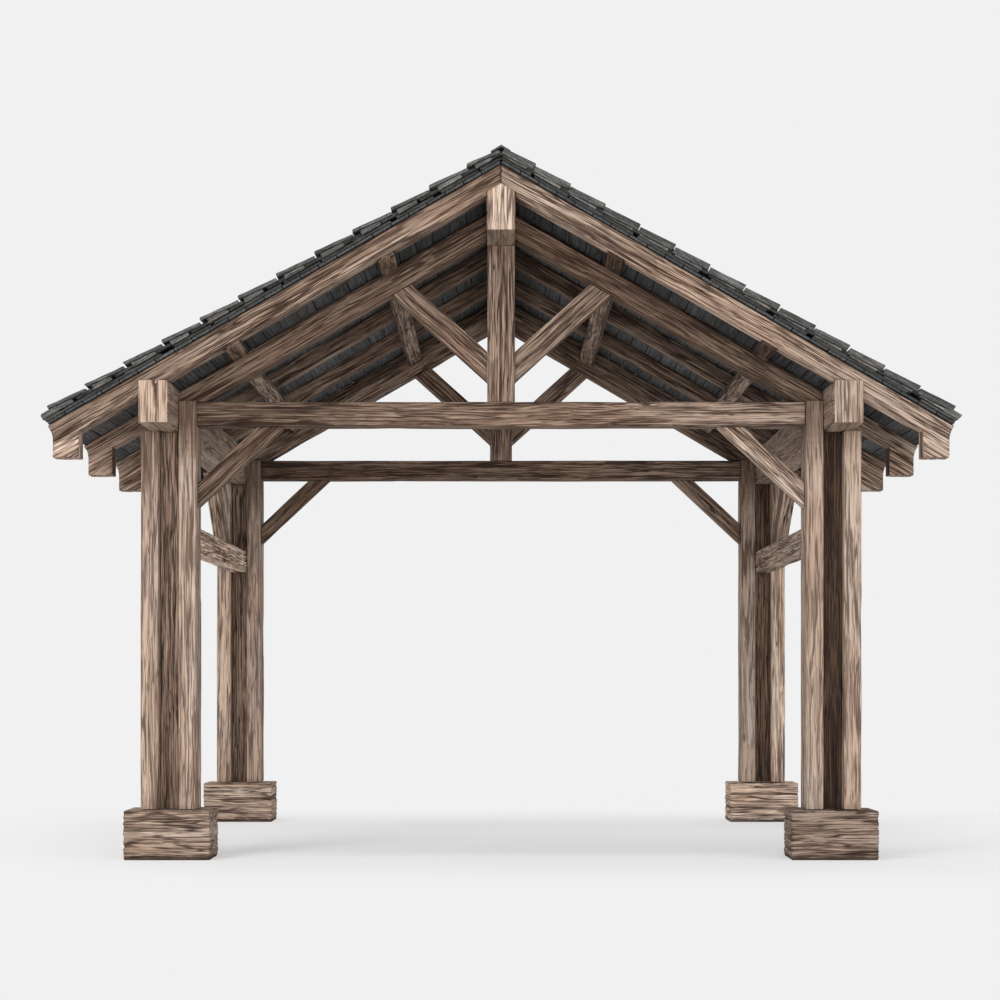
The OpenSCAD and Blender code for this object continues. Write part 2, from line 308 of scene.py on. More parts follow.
RUDDY = (0.89, 0.75, 0.665)
OAK = weathered_oak(
    "oak", dark=(0.29, 0.209, 0.158), middle=(0.44, 0.342, 0.272), light=(0.52, 0.42, 0.348),
    ruddy=RUDDY, crack=(0.10, 0.062, 0.045))
DARK_OAK = weathered_oak(
    "dark_oak", dark=(0.135, 0.085, 0.061), middle=(0.42, 0.312, 0.24), light=(0.71, 0.575, 0.475),
    ruddy=RUDDY, crack=(0.024, 0.012, 0.008))
BLOCK_OAK = weathered_oak(
    "block_oak", dark=(0.21, 0.145, 0.108), middle=(0.41, 0.31, 0.243), light=(0.54, 0.435, 0.36),
    ruddy=RUDDY, crack=(0.030, 0.016, 0.010), coarseness=1.2, depth=0.008)
ROOF_BOARD = weathered_oak(
    "roof_board", dark=(0.065, 0.065, 0.065), middle=(0.095, 0.095, 0.095), light=(0.13, 0.13, 0.13),
    ruddy=(0.97, 0.98, 1.0), crack=(0.04, 0.04, 0.04), depth=0.002, redden=-0.12)


# Riven slate: noise scales down the slope, along it and up through the slate, and each one's share
SLATE_LAYERS, LAYERS_SHARE = (4, 9, 170), 0.36
SLATE_STREAKS, STREAKS_SHARE = (7, 55, 55), 0.38
SLATE_MOTTLE, MOTTLE_SHARE = (40, 90, 120), 0.26
SLATE_BUMP = 0.006


def riven_slate(name, dark, middle, light):
    """Riven slate: streaks run down its faces, and thin layers show on its edges."""
    material, tree, surface = new_material(name)
    place = put(tree, "Attribute", attribute_name="grain").outputs["Vector"]
    layers = noise_at(tree, place, SLATE_LAYERS, 3.0, 0.6)["Fac"]
    streaks = noise_at(tree, place, SLATE_STREAKS, 3.0, 0.6)["Fac"]
    mottle = noise_at(tree, place, SLATE_MOTTLE, 3.0, 0.65)["Fac"]
    mixed = calc(tree, "MULTIPLY", layers, LAYERS_SHARE)
    mixed = calc(tree, "ADD", mixed, calc(tree, "MULTIPLY", streaks, STREAKS_SHARE))
    mixed = calc(tree, "ADD", mixed, calc(tree, "MULTIPLY", mottle, MOTTLE_SHARE))
    colour = ramp(tree, spread(tree, mixed, 0.39, 0.61), ((0.0, dark), (0.5, middle), (1.0, light)))
    tree.links.new(toned(tree, colour, 0.0), surface.inputs["Base Color"])
    tree.links.new(calc(tree, "MULTIPLY_ADD", mottle, -0.3, 0.85), surface.inputs["Roughness"])
    bump = put(tree, "Bump", {"Height": mixed, "Strength": 1.0, "Distance": SLATE_BUMP})
    tree.links.new(bump.outputs[0], surface.inputs["Normal"])
    surface.inputs["Specular IOR Level"].default_value = 0.3
    return material


SLATE = riven_slate(
    "slate", dark=(0.018, 0.0175, 0.017), middle=(0.064, 0.062, 0.059), light=(0.17, 0.165, 0.155))

# ---------------------------------------------------------------- making weathered timber

# The net that timbers are cut into
NET_ALONG = 0.050
NET_ACROSS = 0.0075
# How much corners sharper than SHARP are rounded, and how deep they are chipped
EDGE_WEAR = 0.004
CORNER_WEAR = 0.004
SHARP = math.radians(25)
# Relief of a timber: how deep its face lies on the whole, how far ribs leave that, and its drying checks
RIB_DEPTH = 0.0018
RIB_REACH = 0.0036
CHECK_DEPTH = 0.0065
# Relief of a base block: the same for its layers, and the depths of what runs between them
LAYER_DEPTH = 0.005
LAYER_REACH = 0.005
LAYER_SWAY = 0.010
FINE_REACH = 0.003
CLEFT_DEPTH = 0.007
SEAM_DEPTH = 0.003
# A face counts as an end when it points this squarely along the grain, and as long when less than this
END_FACING = 0.7
LONG_FACING = 0.05
# A net point counts as a corner when its faces spread more than this
CORNER_SPREAD = 0.97
# What lies lower than this stays down on the ground
GROUND_TOUCH = 0.012
# How far below the eaves plates their shade on the posts starts to deepen
EAVES_SHADE = 0.25

eaves_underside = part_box("eaves_plate_left")[0].z


def merged_copy(node):
    """A CAD node's mesh with its loose triangles merged into whole faces."""
    bm = bmesh.new()
    bm.from_mesh(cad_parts[node].data)
    bmesh.ops.remove_doubles(bm, verts=bm.verts, dist=MERGE)
    bmesh.ops.dissolve_limit(bm, angle_limit=math.radians(1), verts=bm.verts, edges=bm.edges)
    return bm


def separate_solids(bm):
    """One bmesh for each solid of a merged node."""
    bm.verts.index_update()
    found, seen = [], set()
    for start in bm.verts:
        if start.index in seen:
            continue
        island, front = {start.index}, [start]
        while front:
            corner = front.pop()
            for edge in corner.link_edges:
                other = edge.other_vert(corner)
                if other.index not in island:
                    island.add(other.index)
                    front.append(other)
        seen |= island
        one = bm.copy()
        one.verts.index_update()
        others = [v for v in one.verts if v.index not in island]
        bmesh.ops.delete(one, geom=others, context="VERTS")
        found.append(one)
    return found


def grain_ways(bm):
    """Length, face and depth directions of a timber: its longest edge and its largest long face."""
    longest = max(bm.edges, key=lambda e: e.calc_length())
    length_way = (longest.verts[1].co - longest.verts[0].co).normalized()
    if max(length_way, key=abs) < 0:
        length_way = -length_way
    long_faces = [f for f in bm.faces if abs(f.normal.dot(length_way)) < LONG_FACING]
    face_way = max(long_faces, key=lambda f: f.calc_area()).normal.copy()
    return length_way, face_way, length_way.cross(face_way)


def cut_net(bm, way, spacing):
    """Cuts the mesh into even slices square to way."""
    reach = [v.co.dot(way) for v in bm.verts]
    low, high = min(reach), max(reach)
    count = max(1, round((high - low) / spacing))
    for i in range(1, count):
        geom = bm.verts[:] + bm.edges[:] + bm.faces[:]
        at = way * (low + (high - low) * i / count)
        bmesh.ops.bisect_plane(bm, geom=geom, dist=MERGE, plane_co=at, plane_no=way)


def wear_edges(bm, width):
    """Rounds the outer corners of a solid."""
    corners = [e for e in bm.edges if e.is_convex and e.calc_face_angle(0) > SHARP]
    bmesh.ops.bevel(bm, geom=corners, affect="EDGES", offset=width, segments=2, profile=0.5,
                    material=-1, clamp_overlap=True)


def mark_grain(bm, ways, seed, end_ways=None):
    """Writes each face corner's place along, across and through the timber.

    End faces take end_ways instead, so that their checks run up the end."""
    grain = bm.loops.layers.float_vector.new("grain")
    for face in bm.faces:
        on_end = end_ways and abs(face.normal.dot(ways[0])) > END_FACING
        use = end_ways if on_end else ways
        for loop in face.loops:
            loop[grain] = Vector(loop.vert.co.dot(way) for way in use) + seed


def stretched_noise(place, along, across):
    """Noise drawn out along the grain."""
    return noise.noise(Vector((place.x * along, place.y * across, place.z * across)))


def layered_noise(place, along, level):
    """Noise in flat layers, where level says which layer a place is in."""
    return noise.noise(Vector((place.x * along, place.y * along, level)))


def grain_relief(place):
    """How far weather has cut a timber back at a place in its grain, and how dark that place lies."""
    broad = stretched_noise(place, 0.8, 18)
    ribs = stretched_noise(place, 2.5, 62)
    check = max(0.0, 1 - 9 * abs(stretched_noise(place, 0.5, 9)))
    if stretched_noise(place, 0.9, 5) < 0.05:
        check = 0.0
    low = -0.30 * broad - 0.85 * ribs
    return RIB_DEPTH + RIB_REACH * low + CHECK_DEPTH * check, low * 0.5 - 0.06 + check


def strata_relief(place):
    """The same for a base block, which is worn into uneven flat layers."""
    level = place.z + LAYER_SWAY * layered_noise(place, 1.3, place.z * 6)
    layer = layered_noise(place, 0.9, level * 46)
    fine = layered_noise(place, 7, level * 95)
    crack = max(0.0, 1 - 7 * abs(layered_noise(place, 2.4, level * 27)))
    seam = max(0.0, 1 - 5 * abs(layered_noise(place, 4.0, level * 52 + 7)))
    back = LAYER_DEPTH - LAYER_REACH * layer - FINE_REACH * fine + CLEFT_DEPTH * crack + SEAM_DEPTH * seam
    return back, -0.25 * layer - 0.3 * fine + crack * 0.9 + seam * 0.6 - 0.05


def weather(bm, ways, seed, relief, worn, end_ways=None, keep_ends=True):
    """Cuts the faces back along the grain and chips the corners, always inwards.

    How deep each place lies goes into the hollow attribute, from 0 on a rib to 1 in a crack."""
    bm.normal_update()
    hollow = bm.verts.layers.float.new("hollow")
    moves = []
    for v in bm.verts:
        on_end = abs(v.normal.dot(ways[0])) > END_FACING
        use = end_ways if end_ways and on_end else ways
        place = Vector(v.co.dot(way) for way in use) + seed
        depth, dark = relief(place)
        depth = max(0.0, depth)
        v[hollow] = min(1.0, max(0.0, dark))
        if min(v.normal.dot(f.normal) for f in v.link_faces) < CORNER_SPREAD:
            chip = noise.noise(Vector((place.x * 5, place.y * 12, place.z * 12)))
            depth += worn * (0.25 + max(0.0, chip) * 1.8)
        move = v.normal * -depth
        if v.co.z < GROUND_TOUCH:
            move.z = 0.0
        if keep_ends:
            move -= ways[0] * move.dot(ways[0])
        moves.append(move)
    for v, move in zip(bm.verts, moves):
        v.co += move


def add_to(joined, part):
    """Moves a part's mesh into the joined one."""
    carrier = bpy.data.meshes.new("carrier")
    part.to_mesh(carrier)
    part.free()
    joined.from_mesh(carrier)
    bpy.data.meshes.remove(carrier)


def finished_mesh(joined, name):
    """The joined work as a named mesh."""
    mesh = bpy.data.meshes.new(name)
    joined.to_mesh(mesh)
    joined.free()
    return mesh


def paint_light_and_shade(solid, tone, length_way, painted_end_light, painted_low_light, painted_eaves_shade):
    """Writes the tone of each face, which paints light and shade on the timber: tone is what it is at the
    left and at the right of the gazebo, and the other tones paint its lower part lighter or darker, shade
    close under the eaves and light on its cut ends.
    """
    low, high = min(v.co.z for v in solid.verts), max(v.co.z for v in solid.verts)
    near, far = min(v.co.x for v in solid.verts), max(v.co.x for v in solid.verts)
    crosses = near * far < 0
    layer = solid.faces.layers.float.new("tone")
    for face in solid.faces:
        face.smooth = True
        centre = face.calc_center_median()
        right = (centre.x - near) / (far - near) if crosses else float(near > 0)
        shade = tone[0] + (tone[1] - tone[0]) * right
        down = (high - centre.z) / (high - low)
        shade *= 1 + (painted_low_light - 1) * down ** 3
        under_eaves = min(1.0, max(0.0, 1 - (eaves_underside - centre.z) / EAVES_SHADE))
        shade *= 1 + (painted_eaves_shade - 1) * under_eaves
        if abs(face.normal.dot(length_way)) > END_FACING:
            shade = max(tone) * painted_end_light
        face[layer] = shade


def timber(node, material, slot, relief=grain_relief, worn=CORNER_WEAR, edge=EDGE_WEAR,
           net=(NET_ALONG, NET_ACROSS, NET_ACROSS), open_ends=False, end_ways=None, fixed_ways=None,
           painted_end_light=1.0, painted_low_light=1.0, painted_eaves_shade=1.0, shape=None):
    """A weathered timber in place of a CAD node, each of its solids with its own grain.

    Its end, low and eaves tones paint light and shade: light on its cut ends, a lighter or darker lower
    part, and shade on what lies close under the eaves. shape is a function that finishes each solid."""
    tone = LIGHT_AND_SHADE_TONES[node] if isinstance(LIGHT_AND_SHADE_TONES[node], tuple) else (LIGHT_AND_SHADE_TONES[node], LIGHT_AND_SHADE_TONES[node])
    draw = random.Random(node)
    joined = bmesh.new()
    source = merged_copy(node)
    for solid in separate_solids(source):
        ways = fixed_ways or grain_ways(solid)
        seed = Vector((draw.uniform(0, 40), draw.uniform(0, 40), draw.uniform(0, 40)))
        wear_edges(solid, edge)
        for way, spacing in zip(ways, net):
            cut_net(solid, way.normalized(), spacing)
        solid.normal_update()
        mark_grain(solid, ways, seed, end_ways)
        paint_light_and_shade(solid, tone, ways[0], painted_end_light, painted_low_light, painted_eaves_shade)
        weather(solid, ways, seed, relief, worn, end_ways, keep_ends=not open_ends)
        if shape:
            shape(solid)
        add_to(joined, solid)
    source.free()
    return place_piece(finished_mesh(joined, node + "_timber"), material, slot, node)


def place_piece(mesh, material, slot, *nodes):
    """Puts a finished mesh in the scene, in place of the CAD nodes that it stands for."""
    piece = bpy.data.objects.new(mesh.name, mesh)
    bpy.context.scene.collection.objects.link(piece)
    mesh.materials.append(material)
    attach(piece, "root")
    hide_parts(*nodes)
    return piece


# ---------------------------------------------------------------- roof covering

PITCH = math.radians(30)
BOARD_THICK = 0.025
BOARDS = 25
BOARD_GAP = 0.006
# The boards' cut ends are painted darker than their faces, a painted shade that is deeper on the right
BOARD_END_SHADE = {"left": 0.8, "right": 0.7}
# Corners of a slab sharper than this, in radians, are rounded on its upper side
SLAB_SHARP = 0.6
# Slate courses on each side. The bed is how high a course's head lies, the step what its tail adds.
# Heights of slates are measured up from the roof boards, and pairs are an underside and a top.
COURSES = {"left": 12, "right": 13}
TOP_COURSE = 0.227
SLATE_BED = 0.064
SLATE_STEP = 0.026
SLATE_LAP = 0.045
SLATE_WIDTHS = (0.19, 0.34)
NARROWEST_SLATE = 0.12
COURSE_THICK = (0.020, 0.026)
COURSE_HEAD = (0.034, 0.056)
STARTER_LIP = 0.072
SLATE_GAP = 0.004
RIDGE_HEAD = -0.016
# Slates at the verges: width, thickness, wear, tone, and how far a course's head is raised
VERGE_SLATE = 0.24
LOWEST_HEAD = 0.030
SLATE_THICK = {"left": 0.024, "right": 0.043}
VERGE_WEAR = {"left": 1.0, "right": 0.5}
VERGE_TONE = {"left": 1.0, "right": 0.8}
VERGE_RISE = {"left": 0.0, "right": 0.010}
# How far the slates under the verge slates are set back from the verge
BEDDING_SET_BACK = 0.004
UNDER_SET_BACK = 0.020
FILLING_SET_BACK = 0.030
# The slabs that lean over the ridge
CAP_THICK = 0.012
CAP_LENGTHS = (0.30, 0.44)
SHORTEST_CAP = 0.2
# Black blocks under the ridge caps that paint the shade beneath them: their size, and how deep their
# middle lies below the caps' top
SHADE_BLOCK = (0.055, 0.3, 0.075)
SHADE_BLOCK_DEPTH = 0.060

board_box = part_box("roof_boards_right")
slate_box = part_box("slates_right")
cap_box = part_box("ridge_capping")
deck_top = board_box[1].z
board_run = (board_box[1].x - BOARD_THICK * math.sin(PITCH)) / math.cos(PITCH)
slate_run = (slate_box[1].x - SLATE_BED * math.sin(PITCH)) / math.cos(PITCH)
verge = slate_box[1].y
cap_half_width = cap_box[1].x


def onto_slope(bm, side, top, pitch):
    """Turns work laid out down the slope (X), along it (Y) and up from it (Z) onto its side's slope."""
    tilt = Matrix.Translation((0, 0, top)) @ Matrix.Rotation(pitch, 4, "Y")
    if side == "left":
        tilt = Matrix.Rotation(math.pi, 4, "Z") @ tilt
    bmesh.ops.transform(bm, matrix=tilt, verts=bm.verts)


def add_slab(joined, run, across, head, tail, draw, cuts=(1, 2), ragged=0.006, edge=0.003, tone=1.0,
             grain=(X, Y, Z), uneven=0.002, mitre=0.0, rebate=0.0, painted_end_light=1.0):
    """Adds one slab that lies from run[0] to run[1] down the slope and across[0] to across[1] along it.

    head and tail are the heights of its underside and top at its upper and lower end. cuts says how
    often it is cut each way, ragged and uneven how far its edges and its top stray inwards, and edge
    how much its upper corners are rounded. mitre cuts its head's underside back, and rebate lifts the
    underside of its two ends."""
    slab = bmesh.new()
    bmesh.ops.create_cube(slab, size=1.0)
    bmesh.ops.translate(slab, vec=(0.5, 0.5, 0.5), verts=slab.verts)
    cut_net(slab, X, 1.0 / (cuts[0] + 1))
    cut_net(slab, Y, 1.0 / (cuts[1] + 1))
    for v in slab.verts:
        down, along, up = v.co
        low = head[0] + (tail[0] - head[0]) * down
        high = head[1] + (tail[1] - head[1]) * down
        x = run[0] + (run[1] - run[0]) * down
        y = across[0] + (across[1] - across[0]) * along
        z = low + (high - low) * up
        if down < 0.01:
            x += mitre * (1 - up)
        if (along < 0.01 or along > 0.99) and up < 0.01:
            z += rebate
        if down > 0.99:
            x -= draw.uniform(0, ragged)
        if along > 0.99:
            y -= draw.uniform(0, ragged / 2)
        if along < 0.01:
            y += draw.uniform(0, ragged / 2)
        if up > 0.99:
            z -= draw.uniform(0, uneven)
        v.co = (x, y, z)
    slab.normal_update()
    upper = [e for e in slab.edges if any(f.normal.z > 0.5 for f in e.link_faces)]
    corners = [e for e in upper if e.calc_face_angle(0) > SLAB_SHARP]
    bmesh.ops.bevel(slab, geom=corners, affect="EDGES", offset=edge, segments=1, profile=0.5, material=-1)
    seed = Vector((draw.uniform(0, 40), draw.uniform(0, 40), draw.uniform(0, 40)))
    mark_grain(slab, grain, seed)
    shade = slab.faces.layers.float.new("tone")
    for face in slab.faces:
        face[shade] = tone * (painted_end_light if abs(face.normal.y) > END_FACING else 1.0)
    add_to(joined, slab)


def butts(side):
    """Places down the slope where the courses of one side end."""
    below = (slate_run - STARTER_LIP - TOP_COURSE) / (COURSES[side] - 1)
    return [TOP_COURSE + i * below for i in range(COURSES[side])]


def set_back(across, inset):
    """A slate's place along the slope, with its verge end set back by inset."""
    if across[0] < 0:
        return across[0] + inset, across[1]
    return across[0], across[1] - inset


def verge_slates(joined, side, head, tail, across, draw):
    """What shows at the verge of one course: its end slate, and those that fill, bed and underlie it."""
    thick = SLATE_THICK[side] * draw.uniform(0.9, 1.1)
    top = SLATE_BED + SLATE_STEP
    worn = VERGE_WEAR[side]
    rough = dict(cuts=(3, 2), ragged=0.010, edge=0.006 * worn, uneven=0.004 * worn)

    # The end slate itself
    heights = (max(LOWEST_HEAD, SLATE_BED - thick), SLATE_BED + VERGE_RISE[side])
    add_slab(joined, (head, tail), across, heights, (top - thick, top), draw,
             tone=VERGE_TONE[side] * draw.uniform(0.85, 1.25), **rough)

    # A dark one that fills the step behind its head, whose low tone paints the shade in that step
    add_slab(joined, (head - 0.06, head + 0.09), set_back(across, FILLING_SET_BACK), (0.028, 0.046),
             (0.028, 0.058), draw, tone=0.5)

    # The one that beds its tail, which is short on the left
    under = top - thick - 0.006
    back = draw.uniform(0.030, 0.050)
    length = draw.uniform(0.13, 0.19) if side == "left" else tail - head - back - 0.02
    tones = (0.95, 1.45) if side == "left" else (1.3, 1.9)
    add_slab(joined, (tail - back - length, tail - back), set_back(across, BEDDING_SET_BACK),
             (0.022, under - 0.012), (0.024, under), draw, tone=draw.uniform(*tones), **rough)

    # The one under both, close to the boards, whose low tone paints the shade under the slates above it
    shift = draw.uniform(-0.10, 0.05)
    add_slab(joined, (max(0.0, head + shift), tail + shift - 0.004), set_back(across, UNDER_SET_BACK),
             (0.002, 0.020), (0.002, 0.026), draw, tone=draw.uniform(0.35, 0.6), **rough)


def painted_gap_shade(joined, draw):
    """A dark sheet on the boards, which paints the shade that shows wherever slates leave a gap."""
    flat = (0.0005, 0.0015)
    add_slab(joined, (0.004, slate_run - 0.10), (0.03 - verge, verge - 0.03), flat, flat, draw,
             edge=0.0005, ragged=0.0, uneven=0.0, tone=0.2)


def starter_slates(joined, side, draw):
    """Two rows of slates under the tail of the last course: the first close to the boards."""
    low_row = (0.002, 0.014), slate_run - 0.30, slate_run - 0.030
    top_row = (0.018, SLATE_BED - 0.004), butts(side)[-1] - 0.06, slate_run
    for heights, start, end in (low_row, top_row):
        left = -verge
        while left < verge:
            right = min(verge, left + draw.uniform(0.2, 0.34))
            add_slab(joined, (start, end), (left, right - SLATE_GAP), heights, heights, draw,
                     ragged=0.016, edge=0.006, tone=draw.uniform(0.9, 1.4))
            left = right


def slates(side):
    """All the slates of one slope: courses from the ridge down, and what lies under them."""
    draw = random.Random("slates_" + side)
    joined = bmesh.new()
    head = RIDGE_HEAD
    for tail in butts(side):
        left = -verge
        while left < verge:
            width = VERGE_SLATE if left == -verge else draw.uniform(*SLATE_WIDTHS)
            right = left + width
            if right > verge - VERGE_SLATE - NARROWEST_SLATE:
                right = verge - VERGE_SLATE if left < verge - VERGE_SLATE - 0.01 else verge
            across = (left, right - (0 if right == verge else SLATE_GAP))
            if left == -verge or right == verge:
                verge_slates(joined, side, head + 0.004, tail, across, draw)
            else:
                thick = draw.uniform(*COURSE_THICK)
                top = SLATE_BED + SLATE_STEP - draw.uniform(0, 0.004)
                run = (max(RIDGE_HEAD, head - SLATE_LAP), tail)
                add_slab(joined, run, across, COURSE_HEAD, (top - thick, top), draw,
                         tone=draw.uniform(0.75, 1.3))
            left = right
        head = tail
    painted_gap_shade(joined, draw)
    starter_slates(joined, side, draw)
    onto_slope(joined, side, deck_top, PITCH)
    place_piece(finished_mesh(joined, "slates_" + side + "_laid"), SLATE, "slate", "slates_" + side)


def roof_boards(side):
    """Boards side by side under the slates, along the ridge."""
    draw = random.Random("roof_boards_" + side)
    joined = bmesh.new()
    start = BOARD_THICK * math.tan(PITCH)
    width = (board_run - start) / BOARDS
    end = board_box[1].y
    for i in range(BOARDS):
        run = (start + i * width + (BOARD_GAP if i else 0.0), start + (i + 1) * width)
        low = -BOARD_THICK + draw.uniform(0, 0.003)
        add_slab(joined, run, (-end, end), (low, 0), (low, 0), draw, cuts=(0, 40), ragged=0.002, edge=0.002,
                 uneven=0.0, tone=draw.uniform(0.7, 1.2), grain=(Y, X, Z), rebate=0.007,
                 painted_end_light=BOARD_END_SHADE[side])
    onto_slope(joined, side, deck_top, PITCH)
    mesh = finished_mesh(joined, "roof_boards_" + side + "_laid")
    place_piece(mesh, ROOF_BOARD, "roof_board", "roof_boards_" + side)


def ridge_caps():
    """Short pairs of slabs leaning together over the ridge."""
    draw = random.Random("ridge")
    joined = bmesh.new()
    drop = cap_box[1].z - cap_box[0].z
    cap_pitch = math.atan((drop - 0.009) / cap_half_width)
    for side in ("right", "left"):
        half = bmesh.new()
        left = -verge
        while left < verge:
            right = left + draw.uniform(*CAP_LENGTHS)
            if verge - right < SHORTEST_CAP:
                right = verge
            tail = cap_half_width / math.cos(cap_pitch) - draw.uniform(0.0, 0.008)
            across = (left, right - SLATE_GAP)
            add_slab(half, (0.0, tail), across, (-CAP_THICK, 0), (-CAP_THICK * 0.7, 0), draw,
                     cuts=(1, 3), ragged=0.010, edge=0.0015, uneven=0.0, tone=draw.uniform(0.8, 1.2),
                     mitre=CAP_THICK * math.tan(cap_pitch))
            left = right
        onto_slope(half, side, cap_box[1].z, cap_pitch)
        add_to(joined, half)
    # Black blocks under the caps paint the shade there: they carry no tone, so they come out black
    for place in (-verge + 0.22, -verge + 0.9, verge - 0.22):
        shade_block = bmesh.new()
        bmesh.ops.create_cube(shade_block, size=1.0)
        bmesh.ops.scale(shade_block, vec=SHADE_BLOCK, verts=shade_block.verts)
        bmesh.ops.translate(shade_block, vec=(0, place, cap_box[1].z - SHADE_BLOCK_DEPTH), verts=shade_block.verts)
        add_to(joined, shade_block)
    place_piece(finished_mesh(joined, "ridge_caps_laid"), SLATE, "slate", "ridge_capping")


# ---------------------------------------------------------------- the whole gazebo

# Which ways the grain pattern lies on cut ends, upright or on the slope, and on the base blocks
UPRIGHT_ENDS = (Z, X, Y)
SLOPED_ENDS = (Z, Y, X)
STRATA_WAYS = (X * 0.8, Y * 0.15, Z)

# How bright each timber is beside its plain wood. These tones paint light and shade into the wood: darker
# up in the trusses and rafters under the roof and in the recesses of the middle posts, paler on the back
# posts and back base blocks. Pairs are the tones at the left and at the right, which paint one side darker.
# A separate measuring program fitted them one by one, so they follow no rule of shelter or rain. Only the
# side braces, purlins, common rafters and the back king post, struts and principals have tones that are
# simply given.
LIGHT_AND_SHADE_TONES = {
    "base_block_front_left": 1.00, "base_block_front_right": 0.74,
    "base_block_back_left": 1.34, "base_block_back_right": 1.94,
    "outer_post_front_left": 1.02, "outer_post_front_right": 1.00,
    "outer_post_back_left": 1.20, "outer_post_back_right": 1.60,
    "middle_post_front_left": 0.51, "middle_post_front_right": 0.14,
    "middle_post_back_left": 0.45, "middle_post_back_right": 0.39,
    "inner_post_front_left": 1.01, "inner_post_front_right": 0.90,
    "inner_post_back_left": 0.90, "inner_post_back_right": 1.08,
    "eaves_plate_left": 0.83, "eaves_plate_right": 0.73,
    "side_rail_left": 1.44, "side_rail_right": 0.96,
    "side_braces_left": 0.85, "side_braces_right": 0.85,
    "tie_beam_front": (0.31, 0.65), "tie_beam_back": (0.30, 0.49),
    "king_post_front": 0.52, "king_post_back": 0.55,
    "king_struts_front": (0.53, 0.50), "king_struts_back": (0.50, 0.50),
    "principal_rafters_front": (0.36, 0.31), "principal_rafters_back": (0.50, 0.45),
    "knee_braces_front": (0.39, 1.04), "knee_braces_back": (0.34, 0.62),
    "ridge_beam": 0.57,
    "purlins_left": 0.60, "purlins_right": 0.60,
    "verge_rafters_left": 0.41, "verge_rafters_right": 0.66,
    "common_rafters_left": 0.45, "common_rafters_right": 0.45,
}


# The tone of the purlins' ends that stand out in front of the principals by more than a little
STUB_SHADE = {"left": 0.7, "right": 0.3}
STUB_SPARE = 0.005
# Verge rafters: how deep below the roof boards their painted light from the ground starts, over how much
# it grows, and their tone there. The block at the tail, this long sideways, has its own values.
PAINTED_LIGHT_EDGE = {"left": (0.055, 0.03, 1.45), "right": (0.134, 0.004, 1.75)}
PAINTED_LIGHT_TAIL = {"left": (0.12, 0.03, 2.75), "right": (0.12, 0.03, 1.05)}
TAIL_LENGTH = 0.222
TOP_SHADE = 0.5
TOP_SHADE_REACH = 0.011
# The painted light on the lower part of the verge rafters, on each side
VERGE_PAINTED_LOW_LIGHT = {"left": 1.0, "right": 1.2}
# Base blocks: their wear and net, how high their foot is painted in shade, and how far down their lip is
# worn
BLOCK_WEAR = 0.010
BLOCK_NET = (0.016, 0.010, 0.006)
FOOT_SHADE = 0.032
LIP_WEAR = 0.018
# The drying crack in the end of the left plate
SPLIT_LENGTH = 0.14
SPLIT_WIDTH = 0.017
SPLIT_DEPTH = 0.03
SPLIT_BESIDE = 0.014
SPLIT_SWAY = 0.010

stub_start = STUB_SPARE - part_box("principal_rafters_front")[0].y
tail_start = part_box("verge_rafters_right")[1].x - TAIL_LENGTH


def shade_stubs(solid):
    """Darkens the ends of the purlins, which lie in the shade behind the verge rafters."""
    layer = solid.faces.layers.float["tone"]
    for face in solid.faces:
        centre = face.calc_center_median()
        if abs(centre.y) > stub_start:
            face[layer] *= STUB_SHADE[side_of(centre)]


def paint_light_on_low_edge(solid):
    """Paints light on the lower edge and the underside of a verge rafter and the block at its tail, where
    light from the ground would fall.

    The line close under the roof boards gets painted shade, as it lies in their shade."""
    layer = solid.faces.layers.float["tone"]
    for face in solid.faces:
        centre = face.calc_center_median()
        side = side_of(centre)
        below = (deck_top - centre.z) * math.cos(PITCH) - abs(centre.x) * math.sin(PITCH) - BOARD_THICK
        start, fade, most = PAINTED_LIGHT_TAIL[side] if abs(centre.x) > tail_start else PAINTED_LIGHT_EDGE[side]
        face[layer] *= 1 + (most - 1) * min(1.0, max(0.0, (below - start) / fade))
        if below < TOP_SHADE_REACH:
            face[layer] *= TOP_SHADE


def ground_edge(solid):
    """Paints shade with a frayed edge on the foot of a base block, and darkens the worn lip round its top in
    frayed specks.
    """
    hollow = solid.verts.layers.float["hollow"]
    top = max(v.co.z for v in solid.verts)
    for v in solid.verts:
        fray = noise.noise(v.co * 26)
        foot = 1.5 - (v.co.z - 0.012 * fray) / FOOT_SHADE
        lip = max(0.0, 1 - (top - v.co.z) / LIP_WEAR)
        v[hollow] = min(1.0, max(v[hollow], foot, lip * (0.35 + 1.5 * fray)))


def split_end(solid):
    """A drying crack down the front end of the left plate, from its top."""
    hollow = solid.verts.layers.float["hollow"]
    top = max(v.co.z for v in solid.verts)
    front = min(v.co.y for v in solid.verts)
    middle = sum(v.co.x for v in solid.verts) / len(solid.verts)
    for v in solid.verts:
        down = (top - v.co.z) / SPLIT_LENGTH
        if v.co.y > front + 0.02 or down > 1:
            continue
        sway = SPLIT_SWAY * noise.noise(Vector((0, 0, v.co.z * 14)))
        beside = abs(v.co.x - middle - SPLIT_BESIDE - sway)
        share = max(0.0, 1 - beside / (SPLIT_WIDTH * (1.1 - down)))
        v.co.y += SPLIT_DEPTH * share
        v[hollow] = max(v[hollow], min(1.0, share * 3.0))


